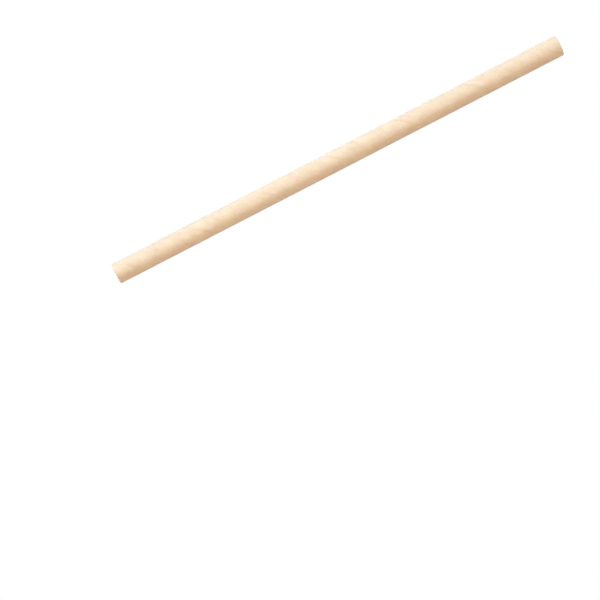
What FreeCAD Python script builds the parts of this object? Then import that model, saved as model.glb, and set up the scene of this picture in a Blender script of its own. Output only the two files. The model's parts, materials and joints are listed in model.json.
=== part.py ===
"""A spirally wound paper drinking straw, lying on its side as it comes to rest on a table.

The wall is three strips of paper, wound one over the other around a rod and glued into one stiff tube.
The two edges of the outermost strip meet along a right-handed helix, and that joint is the fine groove
that runs round the outside from end to end. Both ends are cut square, and the knife leaves the outer
edge of each rim slightly rounded.

Frame: +X along the straw, +Z up, origin on the table under the middle of the straw. Millimetres.
"""
import FreeCAD, Part
import os

# Driving dimensions
STRAW_LENGTH = 197.0
OUTER_DIAMETER = 8.4
PLY_THICKNESS = 0.15       # one strip of paper with its glue
PLY_COUNT = 3
RIM_ROUND = 0.10           # outer edge of each cut end
SEAM_LEAD = 30.85          # advance of the joint along the straw in one turn
SEAM_WIDTH = 0.30          # gap between the strip's edges at the surface, along the straw
SEAM_DEPTH = 0.10          # under one strip, so the joint never opens the wall
SEAM_FIRST_CROSSING = 6.4  # from the left end to where the joint first crosses the top line

# Sizes that follow
OUTER_RADIUS = OUTER_DIAMETER / 2
WALL = PLY_THICKNESS * PLY_COUNT
BORE_RADIUS = OUTER_RADIUS - WALL

ORIGIN = FreeCAD.Vector(0, 0, 0)
Y_AXIS = FreeCAD.Vector(0, 1, 0)
Z_AXIS = FreeCAD.Vector(0, 0, 1)
FULL_TURN = 360.0


def wound_wall():
    """The tube without its joint, standing on the origin."""
    outside = Part.makeCylinder(OUTER_RADIUS, STRAW_LENGTH)
    rims = [edge for edge in outside.Edges if edge.Curve.TypeId == "Part::GeomCircle"]
    outside = outside.makeFillet(RIM_ROUND, rims)
    bore = Part.makeCylinder(BORE_RADIUS, STRAW_LENGTH)
    return outside.cut(bore)


def seam_cutter():
    """The gap between the outer strip's edges: a narrow V swept along a right-handed helix.

    It starts below the standing tube and ends above it, so it runs out through both cut ends. Its
    sides go on past the surface at the same slope, which doubles its width one depth further out.
    """
    overrun = SEAM_LEAD / 4
    helix = Part.makeHelix(SEAM_LEAD, STRAW_LENGTH + 2 * overrun, OUTER_RADIUS)
    corners = [
        FreeCAD.Vector(OUTER_RADIUS - SEAM_DEPTH, 0, 0),
        FreeCAD.Vector(OUTER_RADIUS + SEAM_DEPTH, 0, SEAM_WIDTH),
        FreeCAD.Vector(OUTER_RADIUS + SEAM_DEPTH, 0, -SEAM_WIDTH),
    ]
    profile = Part.makePolygon(corners + corners[:1])
    make_solid, keep_upright = True, True
    cutter = Part.Wire(helix.Edges).makePipeShell([profile], make_solid, keep_upright)
    cutter.translate(FreeCAD.Vector(0, 0, -overrun))
    # The helix starts at angle 0, and angle 180 becomes the top line once the tube is laid down.
    start_to_crossing = FULL_TURN * (overrun + SEAM_FIRST_CROSSING) / SEAM_LEAD
    cutter.rotate(ORIGIN, Z_AXIS, FULL_TURN / 2 - start_to_crossing)
    return cutter


def straw_tube():
    """The whole straw, laid down along +X with its lowest line on the table."""
    (tube,) = wound_wall().cut(seam_cutter()).Solids
    tube.rotate(ORIGIN, Y_AXIS, FULL_TURN / 4)
    tube.translate(FreeCAD.Vector(-STRAW_LENGTH / 2, 0, OUTER_RADIUS))
    return tube


def main():
    os.makedirs("parts", exist_ok=True)
    pieces = {"straw_tube": straw_tube()}
    for name, piece in pieces.items():
        piece.exportStep(f"parts/{name}.step")
        print(name, "volume mm3", round(piece.Volume, 2))


main()
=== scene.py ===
# %% [markdown]
# A paper drinking straw, wound from kraft paper
#
# The straw is made on a machine that winds three strips of brown paper round a steel rod, one over the
# other, with glue between them. A belt turns and pushes the tube along, so each strip runs round it as a
# helix, and a knife cuts the endless tube into straws. What the eye finds on a straw is what that leaves:
# a fine joint that climbs round it, a paper skin with a direction, and two cut ends.

# %% Load the fixed frame
import json
import math
import bmesh
import bpy
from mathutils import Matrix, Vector, noise


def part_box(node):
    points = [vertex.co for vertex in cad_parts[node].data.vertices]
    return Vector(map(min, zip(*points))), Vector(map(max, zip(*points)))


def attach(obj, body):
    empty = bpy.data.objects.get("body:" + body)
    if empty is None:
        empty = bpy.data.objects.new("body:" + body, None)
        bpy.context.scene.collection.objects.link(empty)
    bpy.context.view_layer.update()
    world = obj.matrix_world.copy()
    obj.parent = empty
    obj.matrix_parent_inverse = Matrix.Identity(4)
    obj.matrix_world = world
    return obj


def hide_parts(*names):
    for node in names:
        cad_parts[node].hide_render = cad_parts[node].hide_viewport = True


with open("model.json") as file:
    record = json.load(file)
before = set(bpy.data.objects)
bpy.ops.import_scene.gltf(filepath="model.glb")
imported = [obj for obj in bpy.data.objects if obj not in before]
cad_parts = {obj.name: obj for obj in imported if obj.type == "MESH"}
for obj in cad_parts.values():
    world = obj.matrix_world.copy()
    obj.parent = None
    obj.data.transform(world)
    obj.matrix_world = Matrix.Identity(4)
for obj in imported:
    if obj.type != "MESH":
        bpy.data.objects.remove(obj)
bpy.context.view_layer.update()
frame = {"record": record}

# %% [markdown]
# Sizes
#
# The frame already knows how long the straw is and how wide, outside and inside, so those are measured
# and not typed in again. Only what the frame doesn't tell is written here: how far the strips climb in a
# turn, where the joint of the outer strip starts, and where the joints of the two strips below it lie.

# %% Take the sizes from the frame
MM = 0.001
low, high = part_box("straw_tube")
length = high.x - low.x
outer_radius = (high.z - low.z) / 2
axis = Vector((0, 0, low.z + outer_radius))
mounts = {mount["name"]: mount for mount in frame["record"]["mounts"]}
bore_radius = mounts["drinking_bore"]["dims"]["r_mm"] * MM
PLIES = 3
ply = (outer_radius - bore_radius) / PLIES
print(f"straw {length / MM:.1f} mm long, {2 * outer_radius / MM:.2f} mm outside, ply {ply / MM:.3f} mm")

# %% Say how the strips are wound
LEAD = 30.85 * MM             # advance of a strip's edge in one turn
FIRST_CROSSING = 6.4 * MM     # from the left end to where the outer joint crosses the top line
LOWER_JOINTS = (0.28, 0.59)   # where the joints below show through, as shares of the outer strip
JOINT_HALF_WIDTH = 0.15 * MM
JOINT_DEPTH = 0.10 * MM
joint_start = low.x + FIRST_CROSSING
around = 2 * math.pi * outer_radius
turn_length = math.hypot(LEAD, around)
strip_width = LEAD * around / turn_length
print(f"{length / LEAD:.2f} turns, each {turn_length / MM:.1f} mm of a strip {strip_width / MM:.1f} mm wide")

# %% [markdown]
# The outer skin
#
# A tube could be a cylinder with a line painted on it, but the real skin is one long strip, and its two
# edges sink a little where they meet. So the strip is wound here as the machine winds it: a short row of
# points, one strip wide, is spun once round the straw's axis, and every step also moves it along. After
# one turn its left edge lands on the place of its right edge. The other turns are copies of that one,
# each moved along by one lead, and merging the doubles closes the joint.
#
# The row starts as one edge, cut into many. Most points are needed at the joint, where the paper bends
# most, so a sine pushes them together there.

# %% Shape the row of points across one strip
STRIP_CUTS = 95
CROWDING = 0.86
GROOVE_FULLNESS = 0.8         # 1 would be a plain V, and less makes it fuller
LIP = 0.006 * MM
LIP_PLACE = 1.6               # from the joint, in half widths of it
SUNK = 0.012 * MM
SUNK_HALF_WIDTH = 0.45 * MM


def crowded(share):
    """The same share of the strip's width, with points drawn towards its two edges."""
    return share - CROWDING * math.sin(2 * math.pi * share) / (2 * math.pi)


def relief(share):
    """Height of the paper over the round form, from the joint at 0 to the same joint at 1."""
    from_joint = LEAD * min(share, 1 - share)
    groove = max(0.0, 1 - from_joint / JOINT_HALF_WIDTH)
    lip = math.exp(-((from_joint / JOINT_HALF_WIDTH - LIP_PLACE) ** 2))
    below = min(abs(share - place) for place in LOWER_JOINTS) * LEAD
    sunk = math.exp(-((below / SUNK_HALF_WIDTH) ** 2))
    return LIP * lip - JOINT_DEPTH * groove ** GROOVE_FULLNESS - SUNK * sunk


print(f"points {crowded(1 / STRIP_CUTS) * LEAD / MM:.3f} mm apart at the joint")

# %% Wind it along a helix
OUTER_STEPS = 108
SPARE_TURNS = 2               # the winding starts and ends outside the straw
MERGE = 0.004 * MM


def wound_skin(radius, steps_per_turn, cuts, start, height):
    """A tube wound from one strip, longer than the straw at both ends."""
    bm = bmesh.new()
    first = bm.verts.new((0, 0, 0))
    last = bm.verts.new((LEAD, 0, 0))
    row = bm.edges.new((first, last))
    bmesh.ops.subdivide_edges(bm, edges=[row], cuts=cuts)
    for vert in bm.verts:
        share = crowded(vert.co.x / LEAD)
        vert.co = Vector((start + (share - SPARE_TURNS) * LEAD, 0, axis.z + radius + height(share)))
    bmesh.ops.spin(
        bm, geom=bm.verts[:] + bm.edges[:], cent=axis, axis=(1, 0, 0), angle=2 * math.pi,
        steps=steps_per_turn, dvec=(LEAD / steps_per_turn, 0, 0), use_merge=False,
    )
    one_turn = bm.verts[:] + bm.edges[:] + bm.faces[:]
    for n in range(1, math.ceil(length / LEAD) + SPARE_TURNS):
        copied = bmesh.ops.duplicate(bm, geom=one_turn)["geom"]
        points = [part for part in copied if isinstance(part, bmesh.types.BMVert)]
        bmesh.ops.translate(bm, verts=points, vec=(n * LEAD, 0, 0))
    bmesh.ops.remove_doubles(bm, verts=bm.verts, dist=MERGE)
    return bm


skin = wound_skin(outer_radius, OUTER_STEPS, STRIP_CUTS, joint_start, relief)
print(f"outer skin: {len(skin.verts)} points, {len(skin.faces)} faces")

# %% [markdown]
# The unevenness of the paper
#
# Glue wets the paper, and it dries with shallow buckles that run along the strip. A texture can't show
# them at the edge of the straw, so they go into the mesh. Each point is first told where it lies on the
# flat strip, how far along it and how far across, and noise is read there, stretched along the strip.
# The buckles fade out at the joint, where two unrelated parts of the strip meet, and the table presses
# flat what would sink into it.

# %% Find a point's place on the flat strip
def strip_place(point):
    """(along the strip, across it, distance from the joint) of a point of the outer skin."""
    turn = math.atan2(-point.y, point.z - axis.z) / (2 * math.pi)
    wound = (point.x - joint_start) / LEAD - turn
    share = wound % 1.0
    unrolled = around * (turn + math.floor(wound))
    along = (point.x * LEAD + unrolled * around) / turn_length
    return along, share * strip_width, LEAD * min(share, 1 - share)


halfway = Vector((joint_start + LEAD / 2, 0, high.z))
print(f"halfway between two crossings: {strip_place(halfway)[1] / MM:.1f} mm across the strip")

# %% Buckle the skin
BUCKLE = 0.014 * MM
BUCKLE_SIZES = (11.0 * MM, 3.2 * MM)   # along and across the strip
FADE = 0.9 * MM
heights = []
for vert in skin.verts:
    along, across, from_joint = strip_place(vert.co)
    wave = noise.noise(Vector((along / BUCKLE_SIZES[0], across / BUCKLE_SIZES[1], 0)))
    out = Vector((0, vert.co.y, vert.co.z - axis.z)).normalized()
    rise = BUCKLE * wave * min(1, from_joint / FADE)
    vert.co += out * rise
    vert.co.z = max(vert.co.z, low.z)
    heights.append(rise)
print(f"buckles from {min(heights) / MM:.4f} to {max(heights) / MM:.4f} mm")

# %% [markdown]
# The rims
#
# A knife cuts the endless tube square. bisect_plane does the same to the mesh, and throws away what lies
# past the cut. The cut face is then drawn in: the open loop is extruded again and again, each
# time on a smaller radius, round the worn outer corner, over the three plies with a fine line of glue
# between them, and to the bore. Paper doesn't cut as clean as metal, so a little noise moves each ring.

# %% Cut a skin square at both ends
SNAP = 0.002 * MM


def cut_square(bm, inset):
    """Cut a skin at both ends, inset from them, and return the two open loops."""
    loops = []
    for side in (-1, 1):
        cut = bmesh.ops.bisect_plane(
            bm, geom=bm.verts[:] + bm.edges[:] + bm.faces[:], dist=SNAP,
            plane_co=(side * (length / 2 - inset), 0, 0), plane_no=(side, 0, 0), clear_outer=True,
        )
        loops.append([part for part in cut["geom_cut"] if isinstance(part, bmesh.types.BMEdge)])
    return loops


print(f"points within {SNAP / MM:.3f} mm of a cut lie on it")

# %% Draw the rim inwards over the three plies
RIM_ROUND = 0.10 * MM
RIM_ANGLES = (30, 60, 90)      # steps round the worn corner, in degrees
GLUE_LINE = 0.02 * MM
BORE_CORNER = 0.03 * MM
RAG = 0.05 * MM
RAG_SIZE = 0.45 * MM
RINGS_PER_RAG = 3              # neighbouring rings move alike, those of another ply don't


def rim_rings():
    """(distance in from the end, radius) of each ring, from the outer wall to the bore's corner."""
    for degrees in RIM_ANGLES:
        turn = math.radians(degrees)
        yield RIM_ROUND * (1 - math.sin(turn)), outer_radius - RIM_ROUND * (1 - math.cos(turn))
    for n in range(1, PLIES):
        line = outer_radius - n * ply
        yield 0.0, line + GLUE_LINE
        yield GLUE_LINE, line
        yield 0.0, line - GLUE_LINE
    yield 0.0, bore_radius + BORE_CORNER


def draw_rim(bm, loop, side):
    """Extrude the open loop from ring to ring, down to the bore's corner."""
    for number, (inset, radius) in enumerate(rim_rings()):
        made = bmesh.ops.extrude_edge_only(bm, edges=loop)["geom"]
        loop = [part for part in made if isinstance(part, bmesh.types.BMEdge)]
        for vert in {vert for edge in loop for vert in edge.verts}:
            out = Vector((0, vert.co.y, vert.co.z - axis.z))
            reach = min(out.length, radius)
            layer = side * (1 + number / RINGS_PER_RAG)
            rag = RAG * abs(noise.noise(Vector((layer, vert.co.y / RAG_SIZE, vert.co.z / RAG_SIZE))))
            vert.co = axis + out.normalized() * reach + Vector((side * (length / 2 - inset - rag), 0, 0))


ends = cut_square(skin, RIM_ROUND)
outer_faces = set(skin.faces)
for side, loop in zip((-1, 1), ends):
    draw_rim(skin, loop, side)
print(f"with its rims: {len(skin.faces)} faces")

# %% [markdown]
# The bore
#
# Inside, the straw shows the innermost strip, whose own joint lies away from the outer one. It is wound
# the same way with far fewer points, joined to the rims with bridge_loops, and then the normals of the
# closed shell are turned outwards.

# %% Wind the inner skin
INNER_STEPS = 60
INNER_CUTS = 23
INNER_GROOVE = 0.06 * MM


def inner_relief(share):
    """The inner joint opens away from the bore."""
    return INNER_GROOVE * max(0.0, 1 - LEAD * min(share, 1 - share) / JOINT_HALF_WIDTH)


inner_start = joint_start + LEAD * LOWER_JOINTS[-1]
lining = wound_skin(bore_radius, INNER_STEPS, INNER_CUTS, inner_start, inner_relief)
cut_square(lining, BORE_CORNER)
print(f"inner skin: {len(lining.faces)} faces")

# %% Join it to the rims
lining_mesh = bpy.data.meshes.new("lining")
lining.to_mesh(lining_mesh)
before = set(skin.faces)
skin.from_mesh(lining_mesh)
lining.free()
bpy.data.meshes.remove(lining_mesh)
lining_faces = set(skin.faces) - before

open_edges = [edge for edge in skin.edges if edge.is_boundary]
for side in (-1, 1):
    here = [edge for edge in open_edges if all(vert.co.x * side > 0 for vert in edge.verts)]
    bmesh.ops.bridge_loops(skin, edges=here)
rim_faces = set(skin.faces) - outer_faces - lining_faces
print(f"open edges left: {sum(edge.is_boundary for edge in skin.edges)}, rim faces {len(rim_faces)}")

# %% Make it an object
for face in skin.faces:
    face.smooth = True
for face in rim_faces:
    face.material_index = 1
for face in lining_faces:
    face.material_index = 2
bmesh.ops.remove_doubles(skin, verts=skin.verts, dist=SNAP)
bmesh.ops.recalc_face_normals(skin, faces=skin.faces)
volume = skin.calc_volume(signed=True) / MM ** 3
print(f"volume {volume:.0f} mm3, edges not closed {sum(not edge.is_manifold for edge in skin.edges)}")

mesh = bpy.data.meshes.new("paper_straw")
skin.to_mesh(mesh)
skin.free()
straw = bpy.data.objects.new("paper_straw", mesh)
bpy.context.collection.objects.link(straw)
print(f"{sum(len(polygon.vertices) - 2 for polygon in mesh.polygons)} triangles")

# %% [markdown]
# Small helpers for nodes
#
# A material is a small program drawn as boxes and wires. Written in Python, each box takes a few lines,
# so small helpers make one box each, wire what they are given, and return the output that is used next. A
# value may be a number or another box's output. The first two feed and calculate. The third opens a node
# group, a set of boxes that several materials share. The others come where they are first used.

# %% Feed a socket, calculate, and open a group
FLOAT, VECTOR = "NodeSocketFloat", "NodeSocketVector"


def feed(tree, socket, value):
    """Put a number, or a wire from another node, into a socket."""
    if isinstance(value, bpy.types.NodeSocket):
        tree.links.new(value, socket)
    else:
        socket.default_value = value


def calculate(tree, operation, *values):
    """One step of arithmetic."""
    node = tree.nodes.new("ShaderNodeMath")
    node.operation = operation
    for socket, value in zip(node.inputs, values):
        feed(tree, socket, value)
    return node.outputs[0]


def new_group(name, takes, gives):
    """An empty node group with named sockets, as (tree, its inputs, its outputs)."""
    tree = bpy.data.node_groups.new(name, "ShaderNodeTree")
    for socket, kind in takes.items():
        tree.interface.new_socket(name=socket, in_out="INPUT", socket_type=kind)
    for socket, kind in gives.items():
        tree.interface.new_socket(name=socket, in_out="OUTPUT", socket_type=kind)
    start = tree.nodes.new("NodeGroupInput")
    end = tree.nodes.new("NodeGroupOutput")
    return tree, start.outputs, end.inputs


print(f"groups have sockets of two kinds: {FLOAT} and {VECTOR}")

# %% [markdown]
# Where a point lies on its strip
#
# Everything in the paper follows the strip: its fibres run along it, and its joint is its edge. A pattern
# on plain Object coordinates would run straight through the joint and along the wrong direction. So this
# group does what strip_place did for the mesh. It unrolls the tube and gives the place along the strip
# and across it. The third coordinate is the distance from the axis, which tells the plies apart on a cut
# end. The joint is wherever the share across the strip is 0.

# %% Find the turn and the share across the strip
winding, given, result = new_group(
    "winding",
    {"Position": VECTOR, "Axis Height": FLOAT, "Radius": FLOAT, "Lead": FLOAT, "Start": FLOAT},
    {"Strip": VECTOR, "Share": FLOAT},
)
parts = winding.nodes.new("ShaderNodeSeparateXYZ")
feed(winding, parts.inputs[0], given["Position"])
along_x, across_y = parts.outputs["X"], parts.outputs["Y"]
up = calculate(winding, "SUBTRACT", parts.outputs["Z"], given["Axis Height"])
angle = calculate(winding, "ARCTAN2", calculate(winding, "MULTIPLY", across_y, -1.0), up)
turn = calculate(winding, "DIVIDE", angle, 2 * math.pi)
advance = calculate(winding, "SUBTRACT", along_x, given["Start"])
wound = calculate(winding, "SUBTRACT", calculate(winding, "DIVIDE", advance, given["Lead"]), turn)
share = calculate(winding, "FRACT", wound)
feed(winding, result["Share"], share)
print(f"winding group so far: {len(winding.nodes)} nodes")

# %% Unroll it into lengths
girth = calculate(winding, "MULTIPLY", given["Radius"], 2 * math.pi)
whole_turns = calculate(winding, "ADD", turn, calculate(winding, "FLOOR", wound))
unrolled = calculate(winding, "MULTIPLY", girth, whole_turns)
squares = [calculate(winding, "MULTIPLY", side, side) for side in (given["Lead"], girth)]
one_turn = calculate(winding, "SQRT", calculate(winding, "ADD", *squares))
climb = calculate(winding, "MULTIPLY", along_x, given["Lead"])
round_way = calculate(winding, "MULTIPLY", unrolled, girth)
along = calculate(winding, "DIVIDE", calculate(winding, "ADD", climb, round_way), one_turn)
full_width = calculate(winding, "DIVIDE", calculate(winding, "MULTIPLY", given["Lead"], girth), one_turn)
squares = [calculate(winding, "MULTIPLY", side, side) for side in (across_y, up)]
from_axis = calculate(winding, "SQRT", calculate(winding, "ADD", *squares))
together = winding.nodes.new("ShaderNodeCombineXYZ")
feed(winding, together.inputs["X"], along)
feed(winding, together.inputs["Y"], calculate(winding, "MULTIPLY", share, full_width))
feed(winding, together.inputs["Z"], from_axis)
feed(winding, result["Strip"], together.outputs[0])
print(f"winding group: {len(winding.nodes)} nodes")

# %% [markdown]
# A line along the strip
#
# The joint of the outer strip is a fine dark line, and the joints of the strips below show as broader,
# much fainter ones. All are the same thing: a soft band at one share of the strip. One small group draws
# it, and each material places it where it needs it. The outside also uses it for a paler band beside the
# joint, which is a painted highlight.

# %% Draw a band at one share of the strip
def rescale(tree, value, before, after, smooth=False):
    """Move a value from one range to another, and hold it there."""
    node = tree.nodes.new("ShaderNodeMapRange")
    node.interpolation_type = "SMOOTHSTEP" if smooth else "LINEAR"
    names = ("Value", "From Min", "From Max", "To Min", "To Max")
    for name, given_value in zip(names, (value, *before, *after)):
        feed(tree, node.inputs[name], given_value)
    return node.outputs["Result"]


strip_line, given, result = new_group(
    "strip_line",
    {"Share": FLOAT, "Place": FLOAT, "Lead": FLOAT, "Half Width": FLOAT},
    {"Mask": FLOAT},
)
offset = calculate(strip_line, "SUBTRACT", given["Share"], given["Place"])
nearest = calculate(strip_line, "FRACT", calculate(strip_line, "ADD", offset, 0.5))
distance = calculate(strip_line, "ABSOLUTE", calculate(strip_line, "SUBTRACT", nearest, 0.5))
metres = calculate(strip_line, "MULTIPLY", distance, given["Lead"])
band = rescale(strip_line, metres, (0.0, given["Half Width"]), (1.0, 0.0), smooth=True)
feed(strip_line, result["Mask"], band)
print(f"strip line group: {len(strip_line.nodes)} nodes")

# %% [markdown]
# The paper itself
#
# Held to the light, kraft paper is cloudy, because its fibres lie thicker in some places. Close up the
# single fibres show, drawn out along the strip, with a rare dark fleck of bark. Four sizes of noise give
# clouds, mottling, grain and fibres, and Voronoi cells hold the flecks, of which only a few are let
# through. A noise of its own tells where the pulp is a little redder or yellower. The group puts out a
# tone, a tint, the flecks and a height, and leaves the colours to the material.

# %% Make noise of a given size, drawn out along the strip
NOISE_ROUGHNESS = 0.55


def stretch(tree, vector, factors):
    """Coordinates multiplied along each axis; a small factor draws a pattern out that way."""
    node = tree.nodes.new("ShaderNodeVectorMath")
    node.operation = "MULTIPLY"
    feed(tree, node.inputs[0], vector)
    feed(tree, node.inputs[1], factors)
    return node.outputs[0]


def cloudy(tree, vector, size, detail):
    """Noise whose patches are about this size in metres."""
    node = tree.nodes.new("ShaderNodeTexNoise")
    feed(tree, node.inputs["Vector"], vector)
    node.inputs["Scale"].default_value = 1 / size
    node.inputs["Detail"].default_value = detail
    node.inputs["Roughness"].default_value = NOISE_ROUGHNESS
    return node.outputs["Fac"]


print(f"every noise has a roughness of {NOISE_ROUGHNESS}")

# %% Grow clouds, mottling, grain and fibres
PATTERNS = {
    # size, factors along the strip, across it and outwards, detail, share of the tone
    "clouds": (3.4 * MM, (0.7, 1, 1), 3, 0.32),
    "mottle": (1.2 * MM, (0.55, 1, 1), 3, 0.26),
    "grain": (0.5 * MM, (0.9, 0.6, 1), 4, 0.26),
    "fibres": (0.16 * MM, (0.14, 1, 1), 4, 0.16),
}
RAISED = {"fibres": 0.6, "mottle": 0.4}        # what stands up, and its share of the height
TINT_CLOUD, TINT_STRETCH = 4.4 * MM, (0.8, 1, -1)

paper_fibres, given, result = new_group(
    "paper_fibres",
    {"Strip": VECTOR},
    {"Tone": FLOAT, "Tint": FLOAT, "Flecks": FLOAT, "Height": FLOAT},
)
tone, height = 0.0, 0.0
for name, (size, factors, detail, share_of_tone) in PATTERNS.items():
    pattern = cloudy(paper_fibres, stretch(paper_fibres, given["Strip"], factors), size, detail)
    weighed = calculate(paper_fibres, "MULTIPLY", pattern, share_of_tone)
    tone = calculate(paper_fibres, "ADD", tone, weighed)
    if name in RAISED:
        weighed = calculate(paper_fibres, "MULTIPLY", pattern, RAISED[name])
        height = calculate(paper_fibres, "ADD", height, weighed)
feed(paper_fibres, result["Tone"], tone)
feed(paper_fibres, result["Height"], height)
tint = cloudy(paper_fibres, stretch(paper_fibres, given["Strip"], TINT_STRETCH), TINT_CLOUD, 2)
feed(paper_fibres, result["Tint"], tint)
print(f"{len(PATTERNS)} patterns, from {min(row[0] for row in PATTERNS.values()) / MM:.2f} mm up")

# %% Scatter the flecks of bark
FLECK_SPACING = 4.2 * MM
FLECK_STRETCH = (0.6, 1, 1)
FLECK_SIZE = 0.045             # in spacings
FLECK_SHARE = 0.72             # a cell whose random value is lower stays empty
cells = paper_fibres.nodes.new("ShaderNodeTexVoronoi")
feed(paper_fibres, cells.inputs["Vector"], stretch(paper_fibres, given["Strip"], FLECK_STRETCH))
cells.inputs["Scale"].default_value = 1 / FLECK_SPACING
few = calculate(paper_fibres, "GREATER_THAN", cells.outputs["Color"], FLECK_SHARE)
edge_of_fleck = (0.5 * FLECK_SIZE, FLECK_SIZE)
spot = rescale(paper_fibres, cells.outputs["Distance"], edge_of_fleck, (1.0, 0.0), smooth=True)
feed(paper_fibres, result["Flecks"], calculate(paper_fibres, "MULTIPLY", few, spot))
print(f"paper fibres group: {len(paper_fibres.nodes)} nodes")

# %% [markdown]
# Three finishes of one paper
#
# The outside, the cut rims and the bore are all the same kraft paper, but they don't look the same. The
# outside is calendered smooth and carries the joint, with a painted highlight beside it. The rims show
# torn fibre ends, darker, with the glue between the plies as fine lines. The bore is the back of the
# innermost strip, a little rougher, and its colour is darkened a little as painted shade inside the tube.
# Each is a material of its own, with the same groups at other values.

# %% Blend colours and place a group
def blend_colours(tree, share, first, second):
    """Two colours mixed by a share."""
    node = tree.nodes.new("ShaderNodeMix")
    node.data_type = "RGBA"
    for socket, value in zip((node.inputs[0], node.inputs[6], node.inputs[7]), (share, first, second)):
        feed(tree, socket, value)
    return node.outputs[2]


def use_group(tree, group, **values):
    """Place a group in a material; a name's underscores stand for the spaces in its socket's name."""
    node = tree.nodes.new("ShaderNodeGroup")
    node.node_tree = group
    for name, value in values.items():
        feed(tree, node.inputs[name.replace("_", " ")], value)
    return node.outputs


print(f"groups to place: {[group.name for group in (winding, strip_line, paper_fibres)]}")

# %% Start a paper material
PALE = (0.916, 0.723, 0.532, 1)
DEEP = (0.724, 0.539, 0.373, 1)
ROSY = (0.880, 0.600, 0.470, 1)
GOLDEN = (0.870, 0.670, 0.442, 1)
BARK = (0.300, 0.170, 0.090, 1)
TONE_RANGE = (0.345, 0.655)
TINTS = ((ROSY, (0.46, 0.68)), (GOLDEN, (0.52, 0.30)))   # colour, and where in the clouds it comes in
TINT_SHARE = 0.5
BARK_SHARE = 0.65
GLOSS = 0.35                   # less than the shader's own 0.5, because paper is dull
BUMP_DEPTH = 0.02 * MM


def paper_material(name, radius, start, roughness, bump):
    """A paper with its fibres and flecks, as (material, its tree, its shader, the strip, its colour)."""
    material = bpy.data.materials.new(name)
    material.use_nodes = True
    tree = material.node_tree
    shader = tree.nodes["Principled BSDF"]
    shader.inputs["Specular IOR Level"].default_value = GLOSS
    place = tree.nodes.new("ShaderNodeTexCoord").outputs["Object"]
    strip = use_group(
        tree, winding, Position=place, Axis_Height=axis.z, Radius=radius, Lead=LEAD, Start=start)
    paper = use_group(tree, paper_fibres, Strip=strip["Strip"])
    spread = rescale(tree, paper["Tone"], TONE_RANGE, (0.0, 1.0))
    colour = blend_colours(tree, spread, PALE, DEEP)
    for tint, clouds in TINTS:
        colour = blend_colours(tree, rescale(tree, paper["Tint"], clouds, (0.0, TINT_SHARE)), colour, tint)
    colour = blend_colours(tree, calculate(tree, "MULTIPLY", paper["Flecks"], BARK_SHARE), colour, BARK)
    feed(tree, shader.inputs["Roughness"], rescale(tree, paper["Tone"], TONE_RANGE, roughness))
    surface = tree.nodes.new("ShaderNodeBump")
    surface.inputs["Strength"].default_value = bump
    surface.inputs["Distance"].default_value = BUMP_DEPTH
    feed(tree, surface.inputs["Height"], paper["Height"])
    feed(tree, shader.inputs["Normal"], surface.outputs["Normal"])
    return material, tree, shader, strip, colour


print(f"kraft paper between {PALE[:3]} and {DEEP[:3]}")

# %% Finish the outside, with its joints
JOINT_SHADE = (0.560, 0.370, 0.220, 1)
LINES = (
    # place, half width, strength, colour
    (0.0, 0.34 * MM, 0.14, JOINT_SHADE),
    (LOWER_JOINTS[0], 0.9 * MM, 0.10, DEEP),
    (LOWER_JOINTS[1], 0.9 * MM, 0.08, DEEP),
    # painted highlight: this paler band stands in for the lit side of the lap beside the joint
    (0.085, 1.6 * MM, 0.20, PALE),             # a paler band beside the joint
)
outside, tree, shader, strip, colour = paper_material(
    "kraft_outside", outer_radius, joint_start, roughness=(0.58, 0.72), bump=0.35)
for place, half_width, strength, shade in LINES:
    line = use_group(tree, strip_line, Share=strip["Share"], Place=place, Lead=LEAD, Half_Width=half_width)
    colour = blend_colours(tree, calculate(tree, "MULTIPLY", line["Mask"], strength), colour, shade)
feed(tree, shader.inputs["Base Color"], colour)
print(f"{outside.name}: {len(tree.nodes)} nodes, {len(LINES)} lines along the strip")

# %% Finish the cut rims, with the plies
CUT_SHADE = (0.640, 0.430, 0.265, 1)
GLUE_SHADE = (0.400, 0.245, 0.135, 1)
GLUE_HALF_WIDTH = 0.16         # in plies
FIRST_GLUE = 0.6               # in plies; there is no glue on the outer skin
GLUE_PATCH, SMEARED = 0.9 * MM, ((0.40, 0.62), (0.10, 0.85))    # size, and noise to strength
TORN_FIBRE, TORN = 0.09 * MM, ((0.38, 0.62), (0.25, 0.85))
rims, tree, shader, strip, colour = paper_material(
    "kraft_cut_edge", outer_radius, joint_start, roughness=(0.78, 0.90), bump=0.8)
radial = tree.nodes.new("ShaderNodeSeparateXYZ")
feed(tree, radial.inputs[0], strip["Strip"])
depth = calculate(tree, "DIVIDE", calculate(tree, "SUBTRACT", outer_radius, radial.outputs["Z"]), ply)
in_ply = calculate(tree, "PINGPONG", depth, 0.5)
inside_wall = calculate(tree, "GREATER_THAN", depth, FIRST_GLUE)
line = rescale(tree, in_ply, (0.0, GLUE_HALF_WIDTH), (1.0, 0.0), smooth=True)
glue = calculate(tree, "MULTIPLY", line, inside_wall)
smeared = rescale(tree, cloudy(tree, strip["Strip"], GLUE_PATCH, 2), *SMEARED)
torn = rescale(tree, cloudy(tree, strip["Strip"], TORN_FIBRE, 3), *TORN)
colour = blend_colours(tree, torn, colour, CUT_SHADE)
colour = blend_colours(tree, calculate(tree, "MULTIPLY", glue, smeared), colour, GLUE_SHADE)
feed(tree, shader.inputs["Base Color"], colour)
print(f"{rims.name}: {len(tree.nodes)} nodes")
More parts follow.
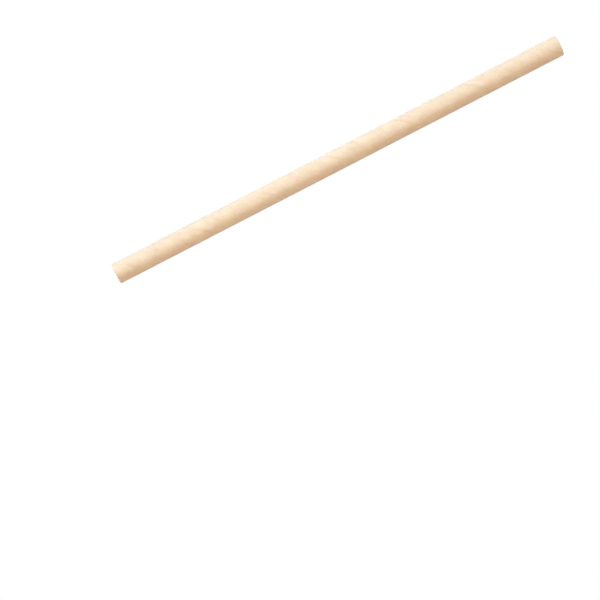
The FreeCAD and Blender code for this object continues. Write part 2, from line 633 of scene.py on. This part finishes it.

# %% Finish the bore
# painted shade: a darker tan that the whole bore is blended towards, for the shade inside the tube
BORE_SHADE = (0.700, 0.500, 0.325, 1)
BORE_SHADE_SHARE = 0.35
INNER_LINE_WIDTH, INNER_LINE_STRENGTH = 0.35 * MM, 0.5
bore, tree, shader, strip, colour = paper_material(
    "kraft_bore", bore_radius, inner_start, roughness=(0.72, 0.86), bump=0.5)
line = use_group(
    tree, strip_line, Share=strip["Share"], Place=0.0, Lead=LEAD, Half_Width=INNER_LINE_WIDTH)
# painted shade over the whole bore
colour = blend_colours(tree, BORE_SHADE_SHARE, colour, BORE_SHADE)
strength = calculate(tree, "MULTIPLY", line["Mask"], INNER_LINE_STRENGTH)
colour = blend_colours(tree, strength, colour, JOINT_SHADE)
feed(tree, shader.inputs["Base Color"], colour)
print(f"{bore.name}: {len(tree.nodes)} nodes")

# %% Give the straw its finishes and its place in the frame
for material in (outside, rims, bore):
    mesh.materials.append(material)
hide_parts("straw_tube")
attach(straw, "root")
print(f"finishes: {[material.name for material in mesh.materials]}")

# %% [markdown]
# The table
#
# The straw lies on a white table, and the picture shows pure white all round it, with no shadow. One flat
# grid is enough. A light strong enough for that would burn out the paper too, and a table brighter than
# white would eat into the straw's edges when the pixels are averaged. So the camera sees a plain glow of
# exactly white, and everything else meets a matt white table: Light Path tells the two kinds of ray apart.
# The matt table also glows faintly, which lights the straw's underside a little more.

# %% Lay the table
TABLE_HALF = 2.0
TABLE_GAP = 0.02 * MM         # two surfaces in one plane would flicker
table_bm = bmesh.new()
bmesh.ops.create_grid(table_bm, x_segments=1, y_segments=1, size=TABLE_HALF)
bmesh.ops.translate(table_bm, verts=table_bm.verts, vec=(0, 0, low.z - TABLE_GAP))
table_mesh = bpy.data.meshes.new("table")
table_bm.to_mesh(table_mesh)
table_bm.free()
table = bpy.data.objects.new("table", table_mesh)
bpy.context.collection.objects.link(table)
print(f"table {2 * TABLE_HALF} m square")

# %% Whiten it
TABLE_WHITE = (0.90, 0.90, 0.90, 1)
PURE_WHITE = (1, 1, 1, 1)
MATT = 0.9
GLOW = 0.07


def split_for_camera(tree, target, others_see, camera_sees):
    """Give the camera's rays one shader and all other rays another."""
    either = tree.nodes.new("ShaderNodeMixShader")
    feed(tree, either.inputs[0], tree.nodes.new("ShaderNodeLightPath").outputs["Is Camera Ray"])
    feed(tree, either.inputs[1], others_see)
    feed(tree, either.inputs[2], camera_sees)
    feed(tree, target, either.outputs[0])


white = bpy.data.materials.new("white_table")
white.use_nodes = True
tree = white.node_tree
shader = tree.nodes["Principled BSDF"]
shader.inputs["Base Color"].default_value = TABLE_WHITE
shader.inputs["Roughness"].default_value = MATT
shader.inputs["Emission Color"].default_value = PURE_WHITE
shader.inputs["Emission Strength"].default_value = GLOW
plain_white = tree.nodes.new("ShaderNodeEmission")
surface = tree.nodes["Material Output"].inputs["Surface"]
split_for_camera(tree, surface, shader.outputs[0], plain_white.outputs[0])
table_mesh.materials.append(white)
print(f"{white.name}: {len(tree.nodes)} nodes")

# %% [markdown]
# The light
#
# In the picture the straw is pale along its upper side and tan along its lower one, with no hard edge
# between. That is a soft box beyond it, a weaker one overhead, and pale walls all round, which the world
# colour stands in for. The straw also darkens a little from its left end to its right one, so both boxes
# stand off its left part. The far box is cool, the one overhead warm and the walls a little rosy, because
# the hue shifts across the straw along with the brightness. From low down the camera would see the walls,
# so for its rays they are white, as the table is.

# %% Paint the walls
WALLS = 0.28
WALL_COLOUR = (1.0, 0.77, 0.83, 1)
world = bpy.data.worlds.new("studio")
bpy.context.scene.world = world
world.use_nodes = True
tree = world.node_tree
walls = tree.nodes["Background"]
walls.inputs["Color"].default_value = WALL_COLOUR
walls.inputs["Strength"].default_value = WALLS
backdrop = tree.nodes.new("ShaderNodeBackground")
backdrop.inputs["Color"].default_value = PURE_WHITE
split_for_camera(tree, tree.nodes["World Output"].inputs["Surface"], walls.outputs[0], backdrop.outputs[0])
print(f"walls at {WALLS} of full brightness")

# %% Hang the soft boxes
BRIGHTEST = -0.09             # the straw is palest towards its left end
BOX_SIDE = 0.5


def soft_box(name, tilt, watts, colour):
    """A square area light 1 m from the straw, leaning from overhead towards +Y by this many degrees."""
    lean = math.radians(tilt)
    place = Vector((BRIGHTEST, math.sin(lean), math.cos(lean)))
    lamp = bpy.data.lights.new(name, "AREA")
    lamp.shape = "SQUARE"
    lamp.size = BOX_SIDE
    lamp.energy = watts
    lamp.color = colour
    box = bpy.data.objects.new(name, lamp)
    box.location = place
    box.rotation_euler = (axis - place).to_track_quat("-Z", "Y").to_euler()
    bpy.context.collection.objects.link(box)
    print(f"{name}: {watts} W, {BOX_SIDE} m square, {tilt} degrees from overhead")


soft_box("key_box", tilt=57, watts=8.95, colour=(0.505, 0.76, 1.0))
soft_box("top_box", tilt=0, watts=6.0, colour=(1.0, 0.93, 0.64))

# %% [markdown]
# The camera
#
# The joint's crossings lie at even distances all along the straw in the picture, so the camera looked at
# it squarely, from straight above the middle of the picture. Its height follows from the size of the
# straw in the picture, and its place from where the left end is.

# %% Set the camera
PHOTO_SIDE = 600
FOCAL_PIXELS = 1837
SENSOR = 36                    # mm
NEAREST, FARTHEST = 0.01, 10   # m
CAMERA_HEIGHT = 731.3 * MM
CAMERA_PLACE = Vector((low.x + 59.8 * MM, -42.5 * MM, CAMERA_HEIGHT))
STRAW_SLANT = math.radians(27.3)
camera_data = bpy.data.cameras.new("camera")
camera_data.sensor_width = SENSOR
camera_data.lens = FOCAL_PIXELS / PHOTO_SIDE * SENSOR
camera_data.clip_start = NEAREST
camera_data.clip_end = FARTHEST
camera = bpy.data.objects.new("camera", camera_data)
camera.location = CAMERA_PLACE
camera.rotation_euler = (0, 0, -STRAW_SLANT)
bpy.context.collection.objects.link(camera)
bpy.context.scene.camera = camera
bpy.context.scene.view_settings.view_transform = "Standard"
print(f"camera with a {camera_data.lens:.0f} mm lens at {CAMERA_HEIGHT:.3f} m")
